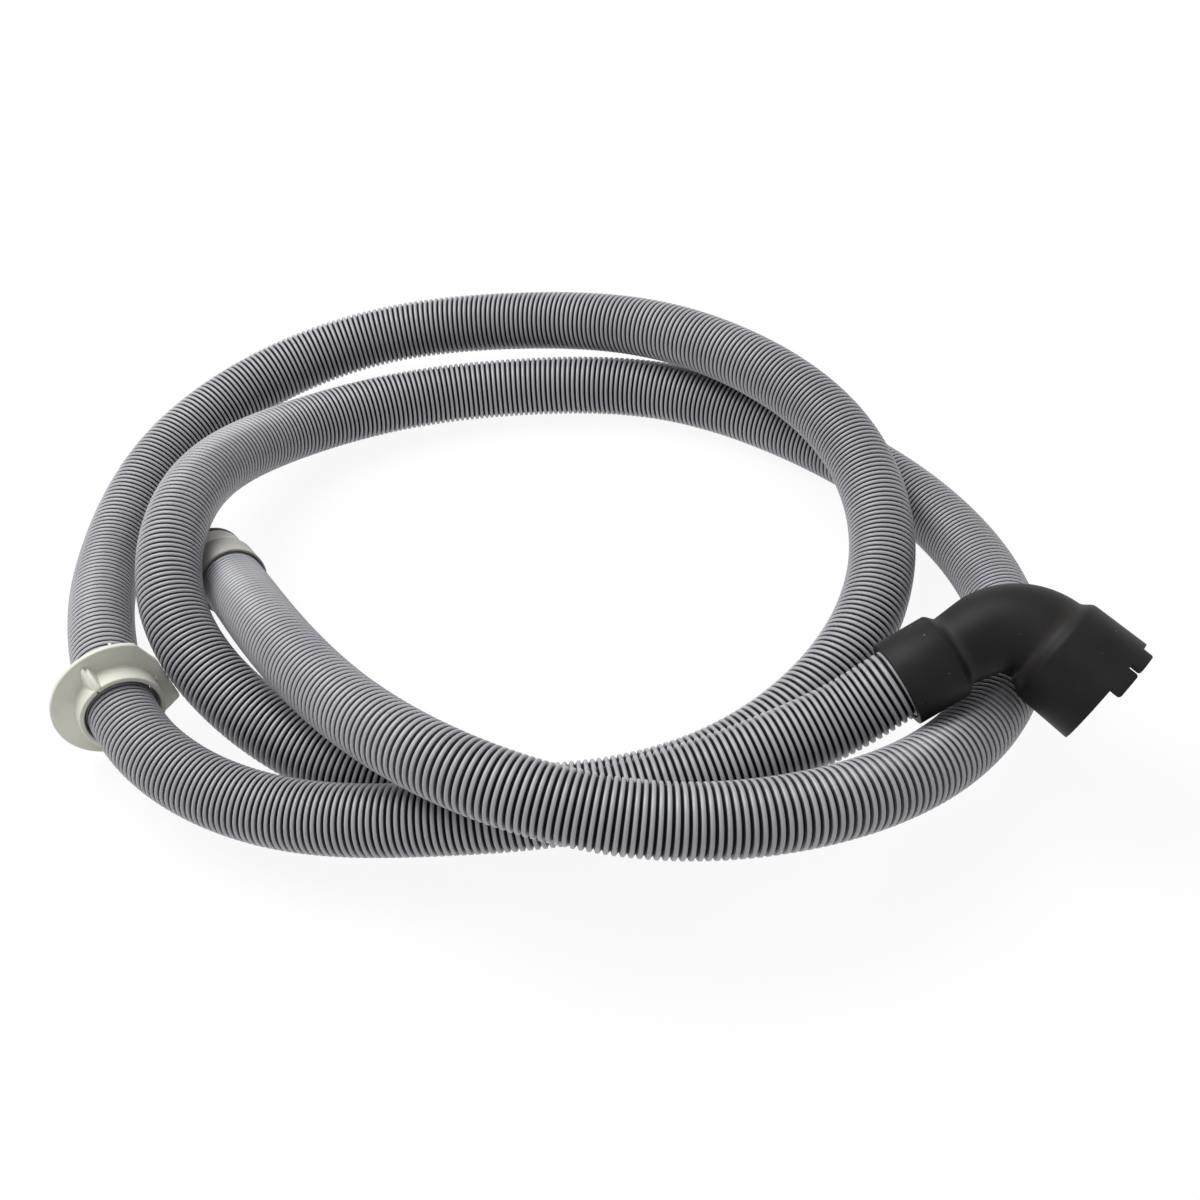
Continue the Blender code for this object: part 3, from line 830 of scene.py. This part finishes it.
def makeGrommet(settings, material):
    heading, lift = math.radians(settings["heading"]), math.radians(settings["lift"])
    along = Vector((
        math.cos(lift) * math.cos(heading), math.cos(lift) * math.sin(heading), math.sin(lift),
    ))
    right = Vector((0.0, 0.0, 1.0)).cross(along).normalized()
    turn = Matrix((right, along.cross(right), along)).transposed().to_4x4()
    place = Matrix.Translation(settings["centre"]) @ turn
    place @= Matrix.Translation((0.0, 0.0, -settings["flangeThickness"]))
    latch = [stretchedForm(settings, settings[part]) for part in ("ridge", "fin")]
    forms = [*latch, grommetNub(settings), grommetTooth(settings)]
    mesh = joinForms(grommetRing(settings), forms, splitCutter(settings))
    return finishPiece("panelGrommet", mesh, place, [material], "panel_grommet")


# polypropylene, injection moulded: off-white with a faint green-grey cast and a soft gloss
grommetPlastic = {
    "white": ("#D9D9CD", "#D0D0C4"),
    "cloudMm": 12.0,
    "cloudDetail": 3.0,
    "cloudBand": (0.35, 0.65),
    "skinMm": 0.8,
    "skinBump": 0.12,
    "roughness": 0.5,
    "ior": 1.49,
    "specular": 0.3,
}


def makeGrommetPlastic(settings):
    material, tree, shader = startMaterial("mouldedPolypropylene")
    place = addNode(tree, "ShaderNodeTexCoord").outputs["Object"]
    colour = cloudyColour(tree, place, settings["white"], settings)
    tree.links.new(colour, shader.inputs["Base Color"])
    addSkin(tree, shader, place, settings)
    shader.inputs["Roughness"].default_value = settings["roughness"]
    shader.inputs["IOR"].default_value = settings["ior"]
    shader.inputs["Specular IOR Level"].default_value = settings["specular"]
    return material


# the studio: white floor, white surroundings, a broad key lamp behind on the left and a weak fill
studio = {
    "floorSize": 12.0,
    "floor": "#F4F4F4",
    "floorRoughness": 0.9,
    "floorSpecular": 0.1,
    "floorGlow": 0.92,  # how much of plain white the camera sees in the floor
    "surroundings": 0.38,  # strength of the white world on the object
    "lamps": (
        # name, place, aim, size in metres, watts
        ("keyLamp", (-0.65, 0.5, 1.35), (0.0, 0.0, 0.0), 1.2, 28.0),
        ("frontFill", (0.4, -1.2, 1.1), (0.0, 0.0, 0.0), 1.2, 0.8),
    ),
}


def seenDirectly(tree):
    path = addNode(tree, "ShaderNodeLightPath")
    either = addNode(
        tree, "ShaderNodeMath", {"operation": "MAXIMUM"},
        links={0: path.outputs["Is Camera Ray"], 1: path.outputs["Is Glossy Ray"]},
    )
    return addNode(
        tree, "ShaderNodeMath", {"operation": "MAXIMUM"},
        links={0: either.outputs[0], 1: path.outputs["Is Transmission Ray"]},
    ).outputs[0]


def makeStudio(settings):
    world = bpy.data.worlds.new("studio")
    bpy.context.scene.world = world
    world.use_nodes = True
    tree = world.node_tree
    tree.nodes.clear()
    strength = addNode(
        tree, "ShaderNodeMapRange", inputs={"To Min": settings["surroundings"], "To Max": 1.0},
        links={"Value": seenDirectly(tree)},
    ).outputs[0]
    white = addNode(
        tree, "ShaderNodeBackground", inputs={"Color": linear("#FFFFFF")}, links={"Strength": strength},
    )
    addNode(tree, "ShaderNodeOutputWorld", links={"Surface": white.outputs[0]})

    mesh = bmesh.new()
    bmesh.ops.create_grid(mesh, x_segments=1, y_segments=1, size=settings["floorSize"] / 2.0)
    data = bpy.data.meshes.new("floor")
    mesh.to_mesh(data)
    mesh.free()
    floor = bpy.data.objects.new("floor", data)
    bpy.context.scene.collection.objects.link(floor)
    material, tree, shader = startMaterial("paperSweep")
    shader.inputs["Base Color"].default_value = linear(settings["floor"])
    shader.inputs["Roughness"].default_value = settings["floorRoughness"]
    shader.inputs["Specular IOR Level"].default_value = settings["floorSpecular"]
    glow = addNode(tree, "ShaderNodeEmission", inputs={"Color": linear("#FFFFFF"), "Strength": 1.0})
    share = addNode(
        tree, "ShaderNodeMapRange", inputs={"To Max": settings["floorGlow"]},
        links={"Value": seenDirectly(tree)},
    ).outputs[0]
    mixed = addNode(
        tree, "ShaderNodeMixShader", links={0: share, 1: shader.outputs[0], 2: glow.outputs[0]},
    )
    tree.links.new(mixed.outputs[0], tree.nodes["Material Output"].inputs["Surface"])
    data.materials.append(material)

    for name, place, aim, size, watts in settings["lamps"]:
        light = bpy.data.lights.new(name, "AREA")
        light.size = size
        light.energy = watts
        lamp = bpy.data.objects.new(name, light)
        bpy.context.scene.collection.objects.link(lamp)
        away = Vector(place) - Vector(aim)
        turn = away.to_track_quat("Z", "Y").to_matrix().to_4x4()
        lamp.matrix_world = Matrix.Translation(place) @ turn


hosePiece, hosePath = makeHose(hose, makeHosePlastic(hosePlastic))
elbowPiece = makeElbow(elbow, makeElbowRubber(elbowRubber))
cuffPiece = makeCuff(cuff, [makeCuffRubber(cuffRubber, zone) for zone in ("body", "end", "rim", "lip")])
grommetPiece = makeGrommet(grommet, makeGrommetPlastic(grommetPlastic))
makeStudio(studio)
bpy.context.scene.view_settings.view_transform = "Standard"
print("studio lit")
